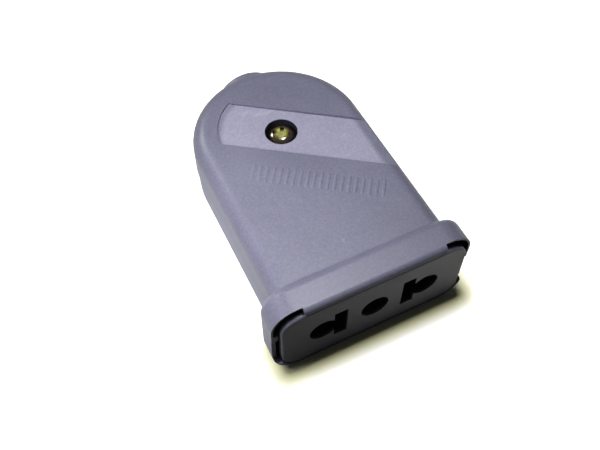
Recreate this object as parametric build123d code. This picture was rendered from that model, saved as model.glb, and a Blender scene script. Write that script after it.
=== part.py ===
from build123d import *
import math
import os

# Frame: the origin is the centre of the earth hole on the mating face, +X to the right of
# someone who looks at that face, +Y from the face to the cable end, +Z up. Millimetres.

# Pin pattern of the mating face
line_spacing = 19.0
blade_spacing = 12.7
line_hole_r = 2.54
earth_hole_r = 2.55
slot_width = 2.4
slot_height = 7.3
face_thickness = 4.0
face_corner_r = 3.3
face_edge_r = 0.4

# Clearances
moulding_fit = 0.15
metal_fit = 0.1
shank_gap = 0.2
thread_gap = 0.05
touch = 0.01

# Spring contacts, folded from strip
strip = 0.5
pin_grip = 3.8
blade_grip = 1.5
blade_height = 6.35
leaf_bow = 0.3
leaf_flare = 0.5
leaf_short = 0.2
mouth_run = 2.2
grip_length = 2.8
bow_run = 1.8
tongue_height = 3.7
clip_strip = 0.35
clip_width = 2.4

# Contact carrier behind the face
pocket_wall = 1.3
carrier_roof = 1.35
carrier_length = 20.5
leaf_stop = 1.0
lug_proud = 0.75
lug_length = 3.0
lug_height = 6.0
lug_y = 13.5

# Wire terminals
tail_length = 8.0
tail_width = 6.2
terminal_inset = 0.5
terminal_screw_r = 1.45
terminal_head_r = 2.6
terminal_head_height = 1.8
terminal_clamp_thickness = 0.8
thread_collar_r = 2.2
thread_collar_drop = 1.1
driver_slot = 0.7
head_edge = 0.45

# Housing shells
side_wall = 2.05
roof_front = 2.575
roof_rear = 1.925
floor_wall = 1.825
wall_draft = 1.0
body_root = 1.5
lower_inset = 0.1
top_edge_r = 3.0
bottom_edge_r = 1.6
lip_width = 0.8
lip_height = 1.0

# Collar at the mating end
collar_length = 5.9
collar_side = 2.3
collar_rise = 0.95
collar_drop = 1.9
collar_corner_r = 4.4
collar_front_r = 1.0
collar_rear_r = 1.4
collar_blend_r = 0.8
rim_wall = 1.15
corner_slot = 1.0
corner_slot_depth = 3.6
corner_set_back = 1.0
corner_slot_start = 12.8
side_slot = 0.55
side_slot_depth = 2.6
side_set_back = 1.3
side_slot_low = 5.6
bridge_top = 2.8
bridge_bottom = 1.2
bridge_set_back = 1.05

# Closing screw, its pillars and its nut
wire_space = 3.0
pillar_r = 4.2
closing_screw_r = 1.45
closing_head_r = 2.8
closing_head_height = 2.2
closing_dome_r = 1.9
head_sink = 0.25
counterbore_r = 3.0
nut_across_flats = 5.5
nut_thickness = 2.4
nut_cover = 0.7
cross_length = 3.2
cross_width = 0.75
cross_depth = 0.9

# Recessed band that crosses the top at the screw
band_width = 10.0
band_angle = -35.5
band_depth = 0.5
band_end_r = 11.2

# Cord clamp and cable entry
arch_after_screw = 0.9
clamp_gap = 1.8
clamp_width = 4.2
clamp_half_length = 10.2
clamp_thickness = 1.5
clamp_screw_spacing = 15.6
clamp_screw_r = 1.2
clamp_head_r = 2.1
clamp_head_height = 1.4
clamp_boss_r = 2.4
cord_r = 3.5
cradle_half_length = 5.2
throat_gap = 2.1
cable_hole_r = 4.0
cable_boss_r = 6.3
cable_boss_proud = 0.5
cable_boss_edge_r = 0.8
throat_wall = 1.6

# Positions that follow from the sizes above
line_x = line_spacing / 2
leaf_height = blade_height - leaf_short
blade_x = blade_spacing / 2
pocket_half_h = blade_height / 2 + strip + metal_fit
base_z = metal_fit - pocket_half_h
carrier_half_h = pocket_half_h + carrier_roof
cavity_half_h = carrier_half_h + moulding_fit
leaf_reach = leaf_flare + strip + metal_fit
line_pocket_in = blade_x - blade_grip / 2 - leaf_reach
line_pocket_out = line_x + pin_grip / 2 + leaf_reach
earth_pocket = pin_grip / 2 + leaf_reach
carrier_half_w = line_pocket_out + pocket_wall
cavity_half_w = carrier_half_w + moulding_fit
body_half_w = cavity_half_w + side_wall
body_top_front = cavity_half_h + roof_front
body_top_rear = cavity_half_h + roof_rear
body_bottom = -cavity_half_h - floor_wall
collar_half_w = body_half_w + collar_side
collar_top = body_top_front + collar_rise
collar_bottom = body_bottom - collar_drop
face_margin = rim_wall + moulding_fit
tail_end = carrier_length + tail_length
terminal_y = tail_end - tail_width / 2 - terminal_inset
terminal_x = line_pocket_out - tail_width / 2 - leaf_flare
screw_y = tail_end + wire_space + pillar_r
arch_y = screw_y + arch_after_screw
clamp_y = screw_y + pillar_r + clamp_gap + clamp_width / 2
throat_y = clamp_y + clamp_width / 2 + throat_gap
boss_tip_y = arch_y + body_half_w + cable_boss_proud
top_slope = (body_top_front - body_top_rear) / (arch_y + body_half_w - collar_length)
band_floor = body_top_front - top_slope * (screw_y - collar_length) - band_depth
head_top = band_floor - head_sink
head_seat = head_top - closing_head_height
nut_seat = body_bottom + nut_cover + nut_thickness


def along_y(face, y0, y1):
    """Extrude a face drawn in X and Z from y0 to y1."""
    return extrude(Plane.XZ.offset(-y0) * face, amount=y0 - y1)


def along_z(face, z0, z1):
    """Extrude a face drawn in X and Y from z0 to z1."""
    return extrude(Plane.XY.offset(z0) * face, amount=z1 - z0)


def block(x0, x1, y0, y1, z0, z1):
    """A plain block between two corners."""
    middle = Pos((x0 + x1) / 2, (y0 + y1) / 2, (z0 + z1) / 2)
    return middle * Box(x1 - x0, y1 - y0, z1 - z0)


def post(x, y, radius, z0, z1):
    """An upright cylinder between two heights."""
    return along_z(Pos(x, y) * Circle(radius), z0, z1)


def barrel(radius, y0, y1):
    """A cylinder along the cable axis."""
    return along_y(Circle(radius), y0, y1)


def section(inset, radius):
    """Rounded outline of the collar, drawn in X and Z and moved in by an inset."""
    width = 2 * (collar_half_w - inset)
    height = collar_top - collar_bottom - 2 * inset
    return Pos(0, (collar_top + collar_bottom) / 2) * RectangleRounded(width, height, radius)


def arch(half_w, y0):
    """Plan outline with straight sides and a half-round cable end."""
    corner = (half_w, y0)
    shoulder = (half_w, arch_y)
    far_shoulder = (-half_w, arch_y)
    far_corner = (-half_w, y0)
    edges = [
        Line(far_corner, corner),
        Line(corner, shoulder),
        ThreePointArc(shoulder, (0, arch_y + half_w), far_shoulder),
        Line(far_shoulder, far_corner),
    ]
    return make_face(edges)


def body_half(half_w, rise):
    """One drafted half of the grip body, from the parting plane to a height."""
    outline = arch(half_w, body_root)
    return extrude(outline, amount=rise, taper=wall_draft)


def upper_form():
    """Upper half of the grip body: its top slopes down to the cable end."""
    tall = body_half(body_half_w, body_top_front + 1)
    slope = Vector(0, top_slope, 1)
    top = Plane(origin=(0, collar_length, body_top_front), z_dir=slope)
    form = split(tall, bisect_by=top, keep=Keep.BOTTOM)
    crown = form.faces().sort_by(Axis.Z)[-1]
    round_edges = [e for e in crown.edges() if e.center().Y > collar_length]
    return fillet(round_edges, top_edge_r)


def lower_form():
    """Lower half of the grip body, a little narrower at the parting line."""
    form = mirror(body_half(body_half_w - lower_inset, -body_bottom), about=Plane.XY)
    base = form.faces().sort_by(Axis.Z)[0]
    round_edges = [e for e in base.edges() if e.center().Y > collar_length]
    return fillet(round_edges, bottom_edge_r)


def collar_form():
    """Collar round the mating face, rounded at its front and rear edges."""
    form = along_y(section(0, collar_corner_r), 0, collar_length)
    ends = form.faces().sort_by(Axis.Y)
    form = fillet(ends[0].edges(), collar_front_r)
    rear = form.faces().sort_by(Axis.Y)[-1]
    return fillet(rear.edges(), collar_rear_r)


def with_collar(body):
    """A body half joined to the collar, with a soft inner corner between them."""
    whole = body + collar_form()
    start = collar_length - collar_rear_r
    inner = []
    for edge in whole.edges():
        box = edge.bounding_box()
        behind = start < box.min.Y and box.max.Y < collar_length + moulding_fit
        if behind and body.distance_to(edge.center()) < touch:
            inner.append(edge)
    return fillet(inner, collar_blend_r)


def cable_boss_form():
    """Short round boss that the cord leaves through."""
    form = barrel(cable_boss_r, throat_y, boss_tip_y)
    tip = form.faces().sort_by(Axis.Y)[-1]
    return fillet(tip.edges(), cable_boss_edge_r)


def edge_slot(width, depth, set_back, z0, z1):
    """Slot round the face between two heights, with the collar's rim cut back beside it."""
    reach = 2 * collar_half_w
    outline = section(face_margin - width, face_corner_r + width)
    rim = block(-reach, reach, -1, set_back, -reach, reach)
    slot = along_y(outline, -1, depth) + rim
    return slot & block(-reach, reach, -1, depth, z0, z1)


def corner_slots():
    """Slots over the face's upper corners and down its sides, with a bridge between them."""
    reach = 2 * collar_half_w
    corners = edge_slot(corner_slot, corner_slot_depth, corner_set_back, bridge_top, reach)
    sides = edge_slot(side_slot, side_slot_depth, side_set_back, -side_slot_low, bridge_bottom)
    bridges = block(-reach, reach, -1, bridge_set_back, bridge_bottom, bridge_top)
    middle = block(-corner_slot_start, corner_slot_start, -reach, reach, -reach, reach)
    return corners + sides + bridges - middle


def chamber():
    """Space inside both shells, with the seat of the face at its front."""
    cavity = along_z(arch(cavity_half_w, face_thickness), -cavity_half_h, cavity_half_h)
    seat = along_y(section(rim_wall, face_corner_r + moulding_fit), -1, face_thickness)
    return cavity + seat + lug_pockets()


def lug_pockets():
    """Pockets in the side walls that hold the carrier's lugs."""
    half_l = lug_length / 2 + moulding_fit
    half_h = lug_height / 2 + moulding_fit
    reach = carrier_half_w + lug_proud + moulding_fit
    return block(-reach, reach, lug_y - half_l, lug_y + half_l, -half_h, half_h)


def throat():
    """Round wall inside the cable end, concentric with the boss."""
    return barrel(cable_hole_r + throat_wall, throat_y, arch_y + cavity_half_w)


def lip(extra):
    """Joint lip round the chamber's rim, with an extra for its groove."""
    start = carrier_length
    ring = arch(cavity_half_w + lip_width + extra, start) - arch(cavity_half_w, start)
    solid = along_z(ring, 0, lip_height + extra)
    reach = cable_boss_r + cable_boss_proud - extra
    return solid - block(-reach, reach, arch_y, 2 * boss_tip_y, -1, 2 * lip_height)


def band_recess():
    """Shallow band across the top, with an arc at its left end."""
    long = 4 * body_half_w
    strip_face = Pos(0, screw_y) * Rot(0, 0, band_angle) * Rectangle(long, band_width)
    right_side = Pos(long / 2, arch_y) * Rectangle(long, 2 * long)
    left_end = Pos(0, arch_y) * Circle(band_end_r)
    outline = strip_face & (right_side + left_end)
    return along_z(outline, band_floor, 2 * body_top_front)


def upper_shell():
    """Upper shell with its pillar, screw hole and recessed band."""
    outside = with_collar(upper_form()) + cable_boss_form()
    shell = outside - chamber()
    ceiling = cavity_half_h
    pillar = post(0, screw_y, pillar_r, moulding_fit, ceiling)
    shell = shell + pillar + throat()
    shell = shell - barrel(cable_hole_r, 0, 2 * boss_tip_y) - corner_slots()
    shell = shell - lip(moulding_fit) - band_recess()
    shell = shell - post(0, screw_y, counterbore_r, head_seat, 2 * body_top_front)
    shell = shell - post(0, screw_y, closing_screw_r + shank_gap, 0, head_seat)
    return split(shell, bisect_by=Plane.XY, keep=Keep.TOP)


def lower_shell():
    """Lower shell with the terminal bed, the cord cradle, the nut pocket and the lip."""
    outside = with_collar(lower_form()) + cable_boss_form()
    shell = outside - chamber()
    floor = -cavity_half_h
    shell = shell + post(0, screw_y, pillar_r, floor, -moulding_fit)
    shell = shell + terminal_bed() + cord_cradle() + throat()
    shell = shell - barrel(cable_hole_r, throat_y, 2 * boss_tip_y) - corner_slots()
    shell = split(shell, bisect_by=Plane.XY, keep=Keep.BOTTOM)
    shell = shell + lip(0)
    pocket = RegularPolygon(nut_across_flats / 2 + metal_fit, 6, major_radius=False)
    shell = shell - along_z(Pos(0, screw_y) * pocket, 2 * body_bottom, nut_seat)
    return shell - post(0, screw_y, closing_screw_r + shank_gap, nut_seat, 0)


def terminal_bed():
    """Raised bed under the terminals, with a hole for each thread collar."""
    reach = terminal_x + tail_width / 2
    top = base_z - metal_fit
    start = carrier_length + 2 * moulding_fit
    bed = block(-reach, reach, start, tail_end, -cavity_half_h, top)
    for x in (-terminal_x, 0, terminal_x):
        bed = bed - post(x, terminal_y, thread_collar_r + moulding_fit, 2 * body_bottom, top)
    for side in (-1, 1):
        x = side * terminal_x / 2
        half = (terminal_x - tail_width) / 2 - metal_fit
        bed = bed + block(x - half, x + half, start, tail_end, -cavity_half_h, 0)
    return bed


def cord_cradle():
    """Half-round cradle for the cord between the two clamp bosses."""
    floor = -cavity_half_h
    y0 = clamp_y - clamp_width / 2
    y1 = clamp_y + clamp_width / 2
    seat = -clamp_thickness / 2 - metal_fit
    cradle = block(-cradle_half_length, cradle_half_length, y0, y1, floor, seat)
    cradle = cradle - barrel(cord_r, y0, y1)
    for side in (-1, 1):
        x = side * clamp_screw_spacing / 2
        boss = post(x, clamp_y, clamp_boss_r, floor, seat)
        cradle = cradle + boss - post(x, clamp_y, clamp_screw_r + thread_gap, floor, seat)
    return cradle


def socket_face():
    """Face plate and contact carrier in one moulding, with the pin holes."""
    plate = along_y(section(face_margin, face_corner_r), 0, face_thickness)
    plate = fillet(plate.faces().sort_by(Axis.Y)[0].edges(), face_edge_r)
    carrier = block(-carrier_half_w, carrier_half_w, face_thickness, carrier_length,
                    -carrier_half_h, carrier_half_h)
    reach = carrier_half_w + lug_proud
    lug_start = lug_y - lug_length / 2
    lugs = block(-reach, reach, lug_start, lug_start + lug_length,
                 -lug_height / 2, lug_height / 2)
    body = plate + carrier + lugs
    holes = Circle(earth_hole_r)
    pockets = Rectangle(2 * earth_pocket, 2 * pocket_half_h)
    for side in (-1, 1):
        holes += Pos(side * line_x, 0) * Circle(line_hole_r)
        holes += Pos(side * blade_x, 0) * Rectangle(slot_width, slot_height)
        middle = side * (line_pocket_in + line_pocket_out) / 2
        width = line_pocket_out - line_pocket_in
        pockets += Pos(middle, 0) * Rectangle(width, 2 * pocket_half_h)
    body = body - along_y(holes, -1, face_thickness)
    return body - along_y(pockets, face_thickness, 2 * carrier_length)


def leaf(grip_x, side):
    """One spring leaf: flared mouth, grip and bowed shank. Side 1 bows to +X."""
    y = face_thickness + metal_fit
    rear = carrier_length - leaf_stop
    steps = [(leaf_flare, 0), (0, mouth_run), (0, grip_length), (leaf_bow, bow_run)]
    inner = []
    for shift, run in steps:
        y = y + run
        inner.append((grip_x + side * shift, y))
    inner.append((grip_x + side * leaf_bow, rear))
    outer = [(x + side * strip, y) for x, y in reversed(inner)]
    outline = make_face(Polyline(*inner, *outer, close=True))
    return along_z(outline, base_z, base_z + leaf_height + strip)


def tail(x):
    """Terminal plate of a contact, with its threaded collar."""
    half = tail_width / 2
    start = carrier_length + metal_fit
    plate = block(x - half, x + half, start, tail_end, base_z, base_z + strip)
    corners = plate.edges().filter_by(Axis.Z).sort_by(Axis.Y)[-2:]
    plate = fillet(corners, strip)
    plate = plate + post(x, terminal_y, thread_collar_r, base_z - thread_collar_drop, base_z)
    hole = post(x, terminal_y, terminal_screw_r + thread_gap, 2 * body_bottom, 0)
    return plate - hole


def contact(left_grip, right_grip, x):
    """Folded contact: two leaves on a base strip, and a terminal at the tail."""
    start = face_thickness + metal_fit + mouth_run + grip_length + bow_run
    base = block(left_grip - leaf_bow - strip, right_grip + leaf_bow + strip,
                 start, carrier_length + metal_fit, base_z, base_z + strip)
    return base + leaf(left_grip, -1) + leaf(right_grip, 1) + tail(x)


def line_contact():
    """Right line contact: a tongue lanced from its base parts blade and pin."""
    left_grip = blade_x - blade_grip / 2
    right_grip = line_x + pin_grip / 2
    body = contact(left_grip, right_grip, terminal_x)
    tongue_x = left_grip + blade_grip
    start = face_thickness + metal_fit + mouth_run + grip_length + bow_run
    lance_start = start + strip
    lance_end = carrier_length - leaf_stop - tail_width / 2 - strip
    tongue_edge = tongue_x + strip
    window = block(tongue_edge, tongue_edge + tongue_height - strip, lance_start, lance_end,
                   2 * body_bottom, base_z + strip)
    tongue = block(tongue_x, tongue_edge, start - grip_length, lance_end,
                   base_z, base_z + tongue_height)
    return body - window + tongue


def earth_contact():
    """Middle contact for the earth pin."""
    return contact(-pin_grip / 2, pin_grip / 2, 0)


def spring_clip(left_grip, right_grip):
    """Steel clip that presses the two leaves of a contact together."""
    y0 = face_thickness + metal_fit + mouth_run + (grip_length - clip_width) / 2
    outline = block(left_grip - strip - clip_strip, right_grip + strip + clip_strip,
                    y0, y0 + clip_width, 0, base_z + strip + leaf_height + clip_strip)
    inside = block(left_grip - strip, right_grip + strip,
                   y0, y0 + clip_width, -1, base_z + strip + leaf_height)
    return outline - inside


def terminal_clamp(x):
    """Pressure plate of a terminal, with its two sides turned down over the tail."""
    half = tail_width / 2 - terminal_inset
    base = base_z + strip
    plate = block(x - half, x + half, terminal_y - half, terminal_y + half,
                  base, base + terminal_clamp_thickness)
    corners = plate.edges().filter_by(Axis.Z)
    plate = fillet(corners, terminal_inset)
    return plate - post(x, terminal_y, terminal_screw_r + shank_gap, base, 0)


def slotted_screw(x, y, seat, shank_r, head_r, head_height, length):
    """Round-headed screw with a driver slot, its thread left plain."""
    head = post(x, y, head_r, seat, seat + head_height)
    head = chamfer(head.faces().sort_by(Axis.Z)[-1].edges(), head_edge)
    slot = block(x - head_r, x + head_r, y - driver_slot / 2, y + driver_slot / 2,
                 seat + head_height / 2, seat + 2 * head_height)
    return head - slot + post(x, y, shank_r, seat - length, seat)


def terminal_screw(x):
    """Screw of one terminal: it ends flush with its thread collar."""
    seat = base_z + strip + terminal_clamp_thickness
    length = terminal_clamp_thickness + strip + thread_collar_drop
    return slotted_screw(x, terminal_y, seat, terminal_screw_r, terminal_head_r,
                         terminal_head_height, length)


def closing_screw():
    """Domed cross-recess screw that holds the shells together."""
    dome = post(0, screw_y, closing_head_r, head_seat, head_top)
    dome = fillet(dome.faces().sort_by(Axis.Z)[-1].edges(), closing_dome_r)
    cross = Rectangle(cross_length, cross_width) + Rectangle(cross_width, cross_length)
    cross = Pos(0, screw_y) * Rot(0, 0, band_angle) * cross
    head = dome - along_z(cross, head_top - cross_depth, 2 * head_top)
    end = nut_seat - nut_thickness
    return head + post(0, screw_y, closing_screw_r, end, head_seat)


def closing_nut():
    """Hexagon nut held in the pocket of the lower shell."""
    outline = Pos(0, screw_y) * RegularPolygon(nut_across_flats / 2, 6, major_radius=False)
    nut = along_z(outline, nut_seat - nut_thickness, nut_seat)
    return nut - post(0, screw_y, closing_screw_r + thread_gap, 2 * body_bottom, nut_seat)


def cord_clamp():
    """Clamp bar arched over the cord, with a screw hole in each ear."""
    half_w = clamp_width / 2
    y0 = clamp_y - half_w
    y1 = clamp_y + half_w
    low = -clamp_thickness / 2
    ears = along_z(Pos(0, clamp_y) * SlotOverall(2 * clamp_half_length, clamp_width),
                   low, -low)
    arc = barrel(cord_r + clamp_thickness, y0, y1)
    arc = arc - block(-2 * cord_r, 2 * cord_r, y0, y1, -2 * cord_r, low)
    bar = ears + arc - barrel(cord_r, y0, y1)
    for side in (-1, 1):
        x = side * clamp_screw_spacing / 2
        bar = bar - post(x, clamp_y, clamp_screw_r + shank_gap, low, -low)
    return bar


def clamp_screw(side):
    """One of the two screws of the cord clamp."""
    x = side * clamp_screw_spacing / 2
    seat = clamp_thickness / 2
    length = cavity_half_h + seat - 2 * metal_fit
    return slotted_screw(x, clamp_y, seat, clamp_screw_r, clamp_head_r,
                         clamp_head_height, length)


def flipped(shape):
    """The same piece on the other side of the middle plane."""
    return mirror(shape, about=Plane.YZ)


def all_parts():
    """Every node by name."""
    right_contact = line_contact()
    right_clip = spring_clip(blade_x - blade_grip / 2, line_x + pin_grip / 2)
    nodes = {
        "upper_shell": upper_shell(),
        "lower_shell": lower_shell(),
        "socket_face": socket_face(),
        "line_contact_right": right_contact,
        "line_contact_left": flipped(right_contact),
        "earth_contact": earth_contact(),
        "spring_clip_right": right_clip,
        "spring_clip_left": flipped(right_clip),
        "spring_clip_earth": spring_clip(-pin_grip / 2, pin_grip / 2),
        "closing_screw": closing_screw(),
        "closing_nut": closing_nut(),
        "cord_clamp": cord_clamp(),
        "clamp_screw_right": clamp_screw(1),
        "clamp_screw_left": clamp_screw(-1),
    }
    places = {"right": terminal_x, "left": -terminal_x, "earth": 0}
    for name, x in places.items():
        nodes["terminal_clamp_" + name] = terminal_clamp(x)
        nodes["terminal_screw_" + name] = terminal_screw(x)
    return nodes


os.makedirs("parts", exist_ok=True)
for name, shape in all_parts().items():
    shape.label = name
    export_step(shape, "parts/" + name + ".step")
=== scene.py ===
import math

import bmesh
import bpy
from mathutils import Matrix, Vector


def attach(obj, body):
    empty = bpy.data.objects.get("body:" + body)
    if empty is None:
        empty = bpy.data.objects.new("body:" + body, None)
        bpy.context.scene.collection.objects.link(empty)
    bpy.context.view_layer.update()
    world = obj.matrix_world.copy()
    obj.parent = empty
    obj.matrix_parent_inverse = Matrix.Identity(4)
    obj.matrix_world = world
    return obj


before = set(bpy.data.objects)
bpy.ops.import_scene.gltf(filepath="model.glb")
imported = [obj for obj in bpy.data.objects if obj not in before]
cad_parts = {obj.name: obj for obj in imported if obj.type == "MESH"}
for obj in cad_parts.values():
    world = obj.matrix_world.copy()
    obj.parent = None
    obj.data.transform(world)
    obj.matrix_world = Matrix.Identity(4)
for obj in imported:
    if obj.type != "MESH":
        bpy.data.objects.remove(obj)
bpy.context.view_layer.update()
MM = 0.001

# Camera, fitted to the photograph: it is close, so the perspective is strong
CAMERA_AZIMUTH = -25.71
CAMERA_ELEVATION = 56.24
CAMERA_ROLL = -0.585
CAMERA_DISTANCE = 122.1 * MM
CAMERA_TARGET = Vector((-6.13, 15.49, 7.55)) * MM
CAMERA_CLIP = 5 * MM
LENS = 44.34
SENSOR = 36.0

# Lamps: a near soft one above the left front that shows in no reflection, a higher one
# behind it, and a window at the left rear that shows in reflections only, along the
# top's left edge and on the screw. Each has its place, its size and its power.
LAMPS = {
    "key": (Vector((-41, 17, 43)) * MM, 0.03, 0.0203),
    "back": (Vector((18, 46, 150)) * MM, 0.05, 0.11),
    "window": (Vector((-72, 165, 101)) * MM, 0.05, 0.085),
}
LAMP_AIM = Vector((0, 25, 0)) * MM
REFLECTED_ONLY = ("window",)
NOT_REFLECTED = ("key",)
WORLD_LEVEL = 0.02
WORLD_GLOSS = 0.12

# Table: the part rests on its collar and on its cable end, so it leans back on it
COLLAR_REST = Vector((0, 5.1, -9.0)) * MM
REAR_REST = Vector((0, 51.0, -7.1)) * MM
TABLE_SIZE = 2.4
PAPER_DARK = (0.86, 0.85, 0.56)
PAPER_LIGHT = (0.9, 0.89, 0.62)

# The table before the part ends at the first of these lines, and the table beside it
# starts at the second. Before the part, values change from left to right over a width.
BEFORE_TO = -10 * MM
BESIDE_FROM = 4 * MM
BEFORE_HALF = 14 * MM

# What the table gives back as light, and what reflections show of it
BOUNCE_BEFORE_LEFT = 0.04
BOUNCE_BEFORE_RIGHT = 0.2
BOUNCE_BESIDE = 0.75
GLOSS_LEFT = 0.17
GLOSS_RIGHT = 0.44

# Footprint on the table, where the painted shadow zone starts, and how far from it the table is
# white
FOOT_MIDDLE = 0.85 * MM
FOOT_HALF = 16.75 * MM
FOOT_HALF_LEFT = 14.85 * MM
FOOT_LEFT_BLEND = 12 * MM
FOOT_FRONT = -5.1 * MM
FOOT_ARCH = 31.5 * MM
WHITE_FROM = 0.8 * MM
WHITE_FULL = 4 * MM
WHITE_LEFT_SPEED = 3.0
# tints of the painted shadow zone, from the footprint outwards
PAINTED_SHADOW_TINTS = [(0.0, (1.0, 0.97, 0.5)), (0.5, (1.0, 0.99, 0.74)), (0.9, (1.0, 1.0, 1.0))]

# Strip of the table left of the body, which lights the foot of its wall
STRIP_EDGE = -16 * MM
STRIP_WIDTH = 16 * MM
STRIP_FRONT = -1 * MM
STRIP_NEAR = 2.8
STRIP_FAR = 0.3

# Recessed band across the top. Its left end is round and has a wall, and its right end
# runs out over the body's edge. Its flat floor is painted paler, a painted sheen that fades
# out short of that edge so the edge's rounding looks shaded, and it gets painted shade
# towards its round end. That edge is straight up to the arch's middle and round behind it.
BAND_MIDDLE = Vector((0, 35.7, 6.935)) * MM
BAND_ANGLE = math.radians(-35.5)
BAND_SLACK = 0.05 * MM
# painted sheen: the band floor's colour is multiplied by this
BAND_PAINTED_SHEEN = (1.84, 1.79, 1.7)
SCUFFS = [(0.6, (1.0, 1.0, 1.0)), (0.74, (1.24, 1.24, 1.2))]
END_RADIUS = 11.2 * MM
END_SOFT = 0.8 * MM
# painted shade: the band's floor darkens to this towards its round end
END_PAINTED_SHADE = 0.7
END_SLACK = 0.06 * MM
ARCH_MIDDLE = 36.6 * MM
FADE_FROM = 12.7 * MM
FADE_TO = 13.7 * MM
FACES_UP = 0.99995
UPRIGHT = 0.5

# Slots and holes of the mating face, and the screw's counterbore, whose walls are
# painted dark as painted shade. Seen from the face, a wall looks inwards where its place
# times its direction is below a limit.
HOLLOW_PAINTED_SHADE = 0.14
FACE_EDGE_FROM = 0.12 * MM
FACE_EDGE_TO = 0.6 * MM
FACE_REAR_FROM = 3.9 * MM
FACE_REAR = 4.0 * MM
RIM_FROM = 0.1 * MM
RIM_TO = 0.5 * MM
FACES_INWARD = -2 * MM
FACES_FRONT = -0.5
SLOT_START = 1.5 * MM
SLOT_END = 7.0 * MM
BORE_RADIUS = 3.12 * MM
BORE_START = 0.15 * MM

# Low ribs beside the band, and the gate mark near the collar
TOP_FRONT = Vector((0, 5.9, 7.85)) * MM
TOP_SLOPE = 0.01392
RIB_FIRST = Vector((-8.6, 29.0)) * MM
RIB_PITCH = 1.2 * MM
RIB_COUNT = 20
RIB_LENGTH = 3.7 * MM
RIB_WIDTH = 0.7 * MM
RIB_PROUD = 0.09 * MM
GATE_PLACE = Vector((-1.1, 9.5)) * MM
GATE_WIDTH = 0.9 * MM
GATE_LENGTH = 0.99 * MM
GATE_PROUD = 0.07 * MM
DOME_RINGS = 6
DOME_SIDES = 32
DOME_SUNK = 0.6
WELD = 1e-7

# Colours and finishes
PLASTIC = (0.232, 0.236, 0.325)
PLASTIC_IOR = 1.48
CLOUD_DEPTH = 0.06
SPECKS = [(0.3, (0.83, 0.86, 0.86)), (0.5, (1.0, 0.97, 1.02)), (0.7, (1.14, 1.15, 1.12))]
# painted light: the lower shell's plastic is the shells' plastic made lighter by this, for the
# table's bounce
LOWER_PAINTED_LIGHT = 1.02
# painted shade: the mating face's plastic is the shells' plastic darkened by this
FACE_PAINTED_SHADE = 0.8
RIB_SHADE = 1.05
GATE_SHADE = 1.25
CLAMP_PLASTIC = (0.62, 0.6, 0.55)
BRASS = (0.78, 0.55, 0.24)
SPRING_STEEL = (0.38, 0.38, 0.4)
PLATED_STEEL = (0.62, 0.62, 0.64)
YELLOW_ZINC = (0.62, 0.52, 0.16)
TARNISH = 0.75
SHINE = 1.1

# The closing screw's head: its radius, and its colours from the middle to the rim, a
# painted reflection bright at the middle and painted shade dark at the rim
HEAD_RADIUS = 2.9 * MM
HEAD_PAINTED_REFLECTION_AND_SHADE = [
    (0.0, (1.0, 1.0, 0.5)),
    (0.27, (0.86, 0.92, 0.3)),
    (0.42, (0.26, 0.21, 0.05)),
    (0.55, (0.08, 0.05, 0.02)),
    (0.85, (0.02, 0.014, 0.01)),
]
STAINS = [(0.35, (0.55, 0.5, 0.45)), (0.65, (1.1, 1.1, 1.1))]

# Noise lies mostly between these two values
NOISE_LOW = 0.3
NOISE_HIGH = 0.7


def camera_axes():
    """Right, up and backward directions of the camera."""
    azimuth = math.radians(CAMERA_AZIMUTH)
    elevation = math.radians(CAMERA_ELEVATION)
    back = Vector((math.sin(azimuth) * math.cos(elevation),
                   -math.cos(azimuth) * math.cos(elevation),
                   math.sin(elevation)))
    right = Vector((0, 0, 1)).cross(back).normalized()
    up = back.cross(right)
    roll = math.radians(CAMERA_ROLL)
    turned_right = right * math.cos(roll) + up * math.sin(roll)
    turned_up = up * math.cos(roll) - right * math.sin(roll)
    return turned_right, turned_up, back


def add_camera():
    """The camera that takes the photograph's view."""
    right, up, back = camera_axes()
    data = bpy.data.cameras.new("camera")
    data.sensor_width = SENSOR
    data.lens = LENS
    data.clip_start = CAMERA_CLIP
    camera = bpy.data.objects.new("camera", data)
    place = Matrix((right, up, back)).transposed().to_4x4()
    place.translation = CAMERA_TARGET + back * CAMERA_DISTANCE
    camera.matrix_world = place
    bpy.context.collection.objects.link(camera)
    bpy.context.scene.camera = camera


def add_lamp(name, place, size, power):
    """A square soft light that looks at the part's middle."""
    data = bpy.data.lights.new(name, "AREA")
    data.shape = "SQUARE"
    data.size = size
    data.energy = power
    lamp = bpy.data.objects.new(name, data)
    lamp.visible_camera = False
    lamp.visible_diffuse = name not in REFLECTED_ONLY
    lamp.visible_glossy = name not in NOT_REFLECTED
    turn = (LAMP_AIM - place).to_track_quat("-Z", "Y")
    lamp.matrix_world = Matrix.Translation(place) @ turn.to_matrix().to_4x4()
    bpy.context.collection.objects.link(lamp)


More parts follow.
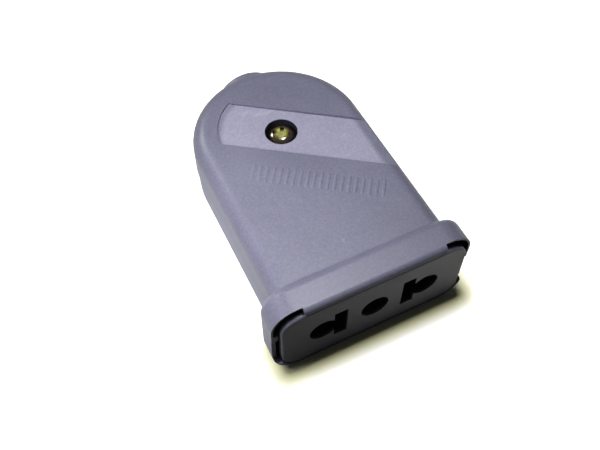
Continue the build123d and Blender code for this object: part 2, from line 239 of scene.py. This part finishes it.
class Nodes:
    """Short calls for building one node material, or the world."""

    def __init__(self, name, world=False):
        made = bpy.data.worlds if world else bpy.data.materials
        self.owner = made.new(name)
        self.owner.use_nodes = True
        self.tree = self.owner.node_tree
        self.shader = self.tree.nodes["Background" if world else "Principled BSDF"]
        self.place = self.new("TexCoord").outputs["Object"]

    def new(self, kind):
        """A new shader node."""
        return self.tree.nodes.new("ShaderNode" + kind)

    def link(self, output, target):
        """Join an output to an input."""
        self.tree.links.new(output, target)

    def feed(self, name, output):
        """Join an output to one of the shader's inputs."""
        self.link(output, self.shader.inputs[name])

    def noise(self, scale, detail=3.0, roughness=0.55, stretch=None):
        """Noise with features of 1/scale metre."""
        node = self.new("TexNoise")
        node.inputs["Scale"].default_value = scale
        node.inputs["Detail"].default_value = detail
        node.inputs["Roughness"].default_value = roughness
        source = self.place
        if stretch:
            mapping = self.new("Mapping")
            mapping.inputs["Scale"].default_value = stretch
            self.link(self.place, mapping.inputs["Vector"])
            source = mapping.outputs["Vector"]
        self.link(source, node.inputs["Vector"])
        return node.outputs["Fac"]

    def ramp(self, source, stops):
        """Colours over a value, as (position, colour) stops."""
        node = self.new("ValToRGB")
        ramp = node.color_ramp
        for element, (position, colour) in zip(ramp.elements, (stops[0], stops[-1])):
            element.position = position
            element.color = (*colour, 1)
        for position, colour in stops[1:-1]:
            ramp.elements.new(position).color = (*colour, 1)
        self.link(source, node.inputs["Fac"])
        return node.outputs["Color"]

    def tint(self, noise, dark, light):
        """Two colours over a noise."""
        return self.ramp(noise, [(NOISE_LOW, dark), (NOISE_HIGH, light)])

    def span(self, source, low, high, start=0.0, end=1.0):
        """A value carried from start..end to low..high."""
        node = self.new("MapRange")
        node.inputs["From Min"].default_value = start
        node.inputs["From Max"].default_value = end
        node.inputs["To Min"].default_value = low
        node.inputs["To Max"].default_value = high
        self.link(source, node.inputs["Value"])
        return node.outputs["Result"]

    def vary(self, noise, low, high):
        """A noise carried to low..high."""
        return self.span(noise, low, high, NOISE_LOW, NOISE_HIGH)

    def grow(self, source, start, end):
        """A share that grows from nought at start to one at end."""
        return self.span(source, 0.0, 1.0, start, end)

    def fall(self, source, start, end):
        """A share that falls from one at start to nought at end."""
        return self.span(source, 1.0, 0.0, start, end)

    def math(self, operation, *values):
        """One sum on values, each an output or a number."""
        node = self.new("Math")
        node.operation = operation
        for value, socket in zip(values, node.inputs):
            if isinstance(value, bpy.types.NodeSocket):
                self.link(value, socket)
            else:
                socket.default_value = value
        return node.outputs["Value"]

    def both(self, first, *shares):
        """Product of shares, which is one only where each of them is one."""
        product = first
        for share in shares:
            product = self.math("MULTIPLY", product, share)
        return product

    def below(self, value, limit):
        """One where a value is below a limit."""
        return self.math("LESS_THAN", value, limit)

    def above(self, value, limit):
        """One where a value is above a limit."""
        return self.math("GREATER_THAN", value, limit)

    def past(self, value, limit):
        """How far a value is past a limit, and nought before it."""
        return self.math("MAXIMUM", self.math("SUBTRACT", value, limit), 0.0)

    def apart(self, value, other):
        """How far two values are apart."""
        return self.math("ABSOLUTE", self.math("SUBTRACT", value, other))

    def length(self, first, second):
        """Length of two sides at right angles."""
        squares = (self.both(side, side) for side in (first, second))
        return self.math("SQRT", self.math("ADD", *squares))

    def mix(self, factor, first, second, blend="MIX"):
        """Blend two colours, each an output or a plain colour."""
        node = self.new("Mix")
        node.data_type = "RGBA"
        node.blend_type = blend
        sockets = [s for s in node.inputs if s.enabled]
        for source, socket in zip((factor, first, second), sockets):
            if isinstance(source, bpy.types.NodeSocket):
                self.link(source, socket)
            elif isinstance(source, (int, float)):
                socket.default_value = source
            else:
                socket.default_value = (*source, 1)
        return [s for s in node.outputs if s.enabled][0]

    def stain(self, colour, shading):
        """A colour multiplied by another, or by a grey value."""
        return self.mix(1.0, colour, shading, "MULTIPLY")

    def bump(self, height, strength, distance, under=None):
        """Bump from a height, laid over another bump if one is given."""
        node = self.new("Bump")
        node.inputs["Strength"].default_value = strength
        node.inputs["Distance"].default_value = distance
        self.link(height, node.inputs["Height"])
        if under is not None:
            self.link(under, node.inputs["Normal"])
        return node.outputs["Normal"]


def coordinates(n, source=None):
    """Separate X, Y and Z of the place, or of another vector."""
    parts = n.new("SeparateXYZ")
    n.link(n.place if source is None else source, parts.inputs[0])
    return [parts.outputs[axis] for axis in "XYZ"]


def facing(n):
    """Separate X, Y and Z of the direction that the surface faces."""
    return coordinates(n, n.new("NewGeometry").outputs["Normal"])


def seen_share(n, glossy):
    """One to the camera and through glass, a given share in reflections, and nought to light."""
    path = n.new("LightPath").outputs
    direct = n.math("MAXIMUM", path["Is Camera Ray"], path["Is Transmission Ray"])
    return n.math("MAXIMUM", direct, n.both(path["Is Glossy Ray"], glossy))


def add_world():
    """Surroundings that show white and light the part only a little."""
    n = Nodes("world", world=True)
    n.shader.inputs["Color"].default_value = (1, 1, 1, 1)
    n.feed("Strength", n.math("MAXIMUM", seen_share(n, WORLD_GLOSS), WORLD_LEVEL))
    bpy.context.scene.world = n.owner


def shade(colour, factor):
    """A colour made lighter or darker."""
    return tuple(channel * factor for channel in colour)


def screw_distance(n):
    """How far a place is from the closing screw's axis."""
    x, y, _ = coordinates(n)
    return n.length(x, n.math("SUBTRACT", y, BAND_MIDDLE.y))


def painted_sheen_share(n):
    """Share of painted sheen: one on the recessed band's flat floor, fading where it runs out at
    the right.
    """
    x, y, z = coordinates(n)
    level = n.below(n.apart(z, BAND_MIDDLE.z), BAND_SLACK)
    flat = n.above(facing(n)[2], FACES_UP)
    off_middle = n.length(n.math("MAXIMUM", x, 0.0), n.past(y, ARCH_MIDDLE))
    return n.both(level, flat, n.fall(off_middle, FADE_FROM, FADE_TO))


def band_end_shade_share(n):
    """Share of painted shade: grows to one on the band's floor, towards the wall of its round
    left end.
    """
    near = n.grow(screw_distance(n), END_RADIUS - END_SOFT, END_RADIUS)
    return n.both(near, n.below(coordinates(n)[0], 0.0))


def band_wall_shade_share(n):
    """Share of painted shade: one on the wall of the band's round left end."""
    x, _, z = coordinates(n)
    near = n.below(n.apart(screw_distance(n), END_RADIUS), END_SLACK)
    upright = n.below(facing(n)[2], UPRIGHT)
    return n.both(near, upright, n.above(z, BAND_MIDDLE.z), n.below(x, 0.0))


def face_shade_share(n):
    """Painted shade: one on the walls of the face plate and its holes, behind its rounded edge.
    """
    y = coordinates(n)[1]
    return n.both(n.grow(y, FACE_EDGE_FROM, FACE_EDGE_TO), n.fall(y, FACE_REAR_FROM, FACE_REAR))


def shell_shade_share(n):
    """Painted shade: one on the shells' walls that look inwards at the face, and on the ends of
    its slots.
    """
    x, y, z = coordinates(n)
    across, along, up = facing(n)
    inward = n.below(n.math("ADD", n.both(x, across), n.both(z, up)), FACES_INWARD)
    walls = n.both(inward, n.grow(y, RIM_FROM, RIM_TO))
    ends = n.both(n.below(along, FACES_FRONT), n.above(y, SLOT_START))
    return n.both(n.math("MAXIMUM", walls, ends), n.below(y, SLOT_END))


def bore_shade_share(n):
    """Painted shade: one on the wall of the counterbore over the closing screw."""
    low = n.below(coordinates(n)[2], BAND_MIDDLE.z - BORE_START)
    return n.both(low, n.below(screw_distance(n), BORE_RADIUS))


def band_sheen_and_end_shade(n, base):
    """The band's floor painted paler as a painted sheen, scuffed, and given painted shade
    towards its round end.
    """
    scuffs = n.noise(scale=330, detail=2, roughness=0.5, stretch=(0.5, 1.6, 1.0))
    pale = n.stain(n.stain(base, BAND_PAINTED_SHEEN), n.ramp(scuffs, SCUFFS))
    return n.stain(pale, n.span(band_end_shade_share(n), 1.0, END_PAINTED_SHADE))


def plastic(name, colour, banded=False, shaded_hollows=()):
    """Matte moulded plastic: fine spark-eroded grain, faint clouds, and painted shade in the
    given hollows.
    """
    n = Nodes(name)
    clouds = n.noise(scale=90, detail=4)
    base = n.tint(clouds, shade(colour, 1 - CLOUD_DEPTH), shade(colour, 1 + CLOUD_DEPTH))
    base = n.stain(base, n.ramp(n.noise(scale=2400, roughness=0.7), SPECKS))
    if banded:
        # painted sheen and painted shade on the band's floor
        base = n.mix(painted_sheen_share(n), base, band_sheen_and_end_shade(n, base))
    for shaded_hollow in shaded_hollows:
        # painted shade on the walls of the given hollows
        base = n.stain(base, n.span(shaded_hollow(n), 1.0, HOLLOW_PAINTED_SHADE))
    n.feed("Base Color", base)
    n.feed("Roughness", n.vary(clouds, low=0.34, high=0.44))
    n.shader.inputs["IOR"].default_value = PLASTIC_IOR
    fine = n.bump(n.noise(scale=3200, roughness=0.6), strength=0.3, distance=0.05 * MM)
    waves = n.bump(n.noise(scale=260), strength=0.2, distance=0.1 * MM, under=fine)
    n.feed("Normal", waves)
    return n.owner


def metal(name, colour, roughness, stretch=None):
    """Plated or stamped metal with a fine finish and slight tarnish."""
    n = Nodes(name)
    clouds = n.noise(scale=300, detail=4)
    n.feed("Base Color", n.tint(clouds, shade(colour, TARNISH), shade(colour, SHINE)))
    n.shader.inputs["Metallic"].default_value = 1.0
    fine = n.noise(scale=1800, roughness=0.6, stretch=stretch)
    n.feed("Roughness", n.vary(fine, low=roughness * 0.8, high=roughness * 1.3))
    n.feed("Normal", n.bump(fine, strength=0.25, distance=0.03 * MM))
    return n.owner


def screw_metal():
    """Yellow zinc, with a painted reflection bright at the middle of the head and painted shade
    dark at its rim.
    """
    n = Nodes("yellow_zinc")
    base = n.ramp(n.math("DIVIDE", screw_distance(n), HEAD_RADIUS), HEAD_PAINTED_REFLECTION_AND_SHADE)
    n.feed("Base Color", n.stain(base, n.ramp(n.noise(scale=900, detail=4), STAINS)))
    n.shader.inputs["Metallic"].default_value = 0.3
    n.shader.inputs["Coat Weight"].default_value = 1.0
    n.shader.inputs["Coat IOR"].default_value = 2.0
    n.shader.inputs["Coat Roughness"].default_value = 0.1
    n.feed("Roughness", n.vary(n.noise(scale=2000), low=0.14, high=0.24))
    n.feed("Normal", n.bump(n.noise(scale=1500), strength=0.15, distance=0.03 * MM))
    return n.owner


def dress(material, *names):
    """Give a material to named nodes."""
    for name in names:
        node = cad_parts[name]
        node.data.materials.clear()
        node.data.materials.append(material)


def dress_mouldings():
    """The finish of every plastic node, with its painted light and shade."""
    # painted shade in the slots, the counterbore and the band's round end wall
    upper_shaded_hollows = (shell_shade_share, bore_shade_share, band_wall_shade_share)
    upper = plastic("upper_plastic", PLASTIC, banded=True, shaded_hollows=upper_shaded_hollows)
    lower = plastic("lower_plastic", shade(PLASTIC, LOWER_PAINTED_LIGHT), shaded_hollows=(shell_shade_share,))
    face = plastic("face_plastic", shade(PLASTIC, FACE_PAINTED_SHADE), shaded_hollows=(face_shade_share,))
    dress(upper, "upper_shell")
    dress(lower, "lower_shell")
    dress(face, "socket_face")
    dress(plastic("clamp_plastic", CLAMP_PLASTIC), "cord_clamp")


def dress_metals():
    """The finish of every metal node."""
    brass = metal("contact_brass", BRASS, roughness=0.35, stretch=(1, 8, 1))
    steel = metal("spring_steel", SPRING_STEEL, roughness=0.35)
    plated = metal("plated_steel", PLATED_STEEL, roughness=0.3)
    dress(brass, "line_contact_right", "line_contact_left", "earth_contact")
    for side in ("right", "left", "earth"):
        dress(steel, "spring_clip_" + side)
        dress(plated, "terminal_clamp_" + side, "terminal_screw_" + side)
    dress(plated, "clamp_screw_right", "clamp_screw_left")
    dress(screw_metal(), "closing_screw")
    dress(metal("yellow_zinc_nut", YELLOW_ZINC, roughness=0.28), "closing_nut")


def shadow_distance(n):
    """How far a place on the table is from the part's footprint, arched at its far end.

    Left of the body the footprint is narrower and the distance grows faster, for a thin painted
    shadow.
    """
    x, y, _ = coordinates(n)
    x = n.math("SUBTRACT", x, FOOT_MIDDLE)
    left = n.both(n.fall(x, -FOOT_LEFT_BLEND, 0.0), n.grow(y, 0.0, BESIDE_FROM))
    half = n.span(left, FOOT_HALF, FOOT_HALF_LEFT)
    speed = n.span(left, 1.0, WHITE_LEFT_SPEED)
    beside = n.past(n.length(x, n.past(y, FOOT_ARCH)), half)
    before = n.math("MAXIMUM", n.math("SUBTRACT", FOOT_FRONT, y), 0.0)
    return n.length(n.both(beside, speed), before)


def strip_light(n):
    """Light of the strip left of the body. Matte shading takes it up, and nothing shows it."""
    x, y, _ = coordinates(n)
    level = n.span(x, STRIP_FAR, STRIP_NEAR, STRIP_EDGE - STRIP_WIDTH, STRIP_EDGE)
    inside = n.both(n.below(x, STRIP_EDGE), n.grow(y, STRIP_FRONT, BESIDE_FROM))
    return n.both(level, inside, n.new("LightPath").outputs["Is Diffuse Ray"])


def table_material():
    """White table top: it shows white away from the part, and around its footprint a painted
    shadow zone that lets the cast shadow show.
    """
    n = Nodes("table")
    x, y, _ = coordinates(n)
    seen = seen_share(n, n.span(x, GLOSS_LEFT, GLOSS_RIGHT, -BEFORE_HALF, BEFORE_HALF))
    before = n.span(x, BOUNCE_BEFORE_LEFT, BOUNCE_BEFORE_RIGHT, -BEFORE_HALF, BEFORE_HALF)
    bounce = n.math("MAXIMUM", before, n.span(y, 0.0, BOUNCE_BESIDE, BEFORE_TO, BESIDE_FROM))
    paper = n.tint(n.noise(scale=60, detail=4), PAPER_DARK, PAPER_LIGHT)
    n.feed("Base Color", n.mix(seen, bounce, paper))
    n.shader.inputs["Roughness"].default_value = 0.8
    n.shader.inputs["Specular IOR Level"].default_value = 0.2
    # painted shadow zone: the white glow fades out towards the footprint
    white = n.grow(shadow_distance(n), WHITE_FROM, WHITE_FULL)
    n.feed("Emission Color", n.ramp(white, PAINTED_SHADOW_TINTS))
    n.feed("Emission Strength", n.math("ADD", n.both(seen, white), strip_light(n)))
    return n.owner


def add_table():
    """The table, sloped so that the part rests on its collar and its cable end."""
    run = REAR_REST - COLLAR_REST
    tilt = math.atan2(run.z, run.y)
    mesh = bpy.data.meshes.new("table")
    half = TABLE_SIZE / 2
    corners = [(-half, -half, 0), (half, -half, 0), (half, half, 0), (-half, half, 0)]
    mesh.from_pydata(corners, [], [(0, 1, 2, 3)])
    mesh.materials.append(table_material())
    table = bpy.data.objects.new("table", mesh)
    table.matrix_world = Matrix.Translation(COLLAR_REST) @ Matrix.Rotation(tilt, 4, "X")
    bpy.context.collection.objects.link(table)


def top_height(place):
    """Height of the sloping top at a place in plan."""
    return TOP_FRONT.z - TOP_SLOPE * (place.y - TOP_FRONT.y)


def add_piece(name, mesh_maker, material):
    """A moulded detail that rides with the body."""
    mesh = bpy.data.meshes.new(name)
    work = bmesh.new()
    mesh_maker(work)
    bmesh.ops.recalc_face_normals(work, faces=work.faces)
    for face in work.faces:
        face.smooth = True
    work.to_mesh(mesh)
    work.free()
    mesh.materials.append(material)
    piece = bpy.data.objects.new(name, mesh)
    bpy.context.collection.objects.link(piece)
    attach(piece, "root")


def dome_ring(work, place, across, length, proud, ring):
    """One ring of a dome's points. The last one closes to a line along its length."""
    lean = math.pi / 2 * ring / DOME_RINGS
    radius = across / 2 * math.cos(lean)
    rise = proud * ((1 + DOME_SUNK) * math.sin(lean) - DOME_SUNK)
    straight = (length - across) / 2
    turn = Matrix.Rotation(BAND_ANGLE, 2)
    points = []
    for step in range(DOME_SIDES):
        way = 2 * math.pi * step / DOME_SIDES
        along = math.copysign(straight, math.sin(way))
        if ring == DOME_RINGS:
            along = straight * math.sin(way)
        offset = Vector((radius * math.cos(way), radius * math.sin(way) + along))
        spot = place + turn @ offset
        points.append(work.verts.new((spot.x, spot.y, top_height(spot) + rise)))
    return points


def dome(work, place, across, length, proud):
    """A low rounded pad on the sloping top, with its length across the band."""
    lower = dome_ring(work, place, across, length, proud, 0)
    for ring in range(1, DOME_RINGS + 1):
        upper = dome_ring(work, place, across, length, proud, ring)
        for step in range(DOME_SIDES):
            after = (step + 1) % DOME_SIDES
            work.faces.new((lower[step], lower[after], upper[after], upper[step]))
        lower = upper
    bmesh.ops.remove_doubles(work, verts=work.verts, dist=WELD)


def ribs(work):
    """A row of low ribs along the band."""
    along = Vector((math.cos(BAND_ANGLE), math.sin(BAND_ANGLE)))
    for index in range(RIB_COUNT):
        place = RIB_FIRST + along * RIB_PITCH * index
        dome(work, place, RIB_WIDTH, RIB_LENGTH, RIB_PROUD)


def gate_mark(work):
    """Small raised gate mark left by moulding."""
    dome(work, GATE_PLACE, GATE_WIDTH, GATE_LENGTH, GATE_PROUD)


def add_details():
    """Low moulded details of the top."""
    material = plastic("detail_plastic", shade(PLASTIC, RIB_SHADE))
    add_piece("top_ribs", ribs, material)
    pale = plastic("gate_plastic", shade(PLASTIC, GATE_SHADE))
    add_piece("gate_mark", gate_mark, pale)


bpy.context.scene.view_settings.view_transform = "Standard"
add_camera()
add_world()
for lamp_name, (lamp_place, lamp_size, lamp_power) in LAMPS.items():
    add_lamp(lamp_name, lamp_place, lamp_size, lamp_power)
add_table()
dress_mouldings()
dress_metals()
add_details()
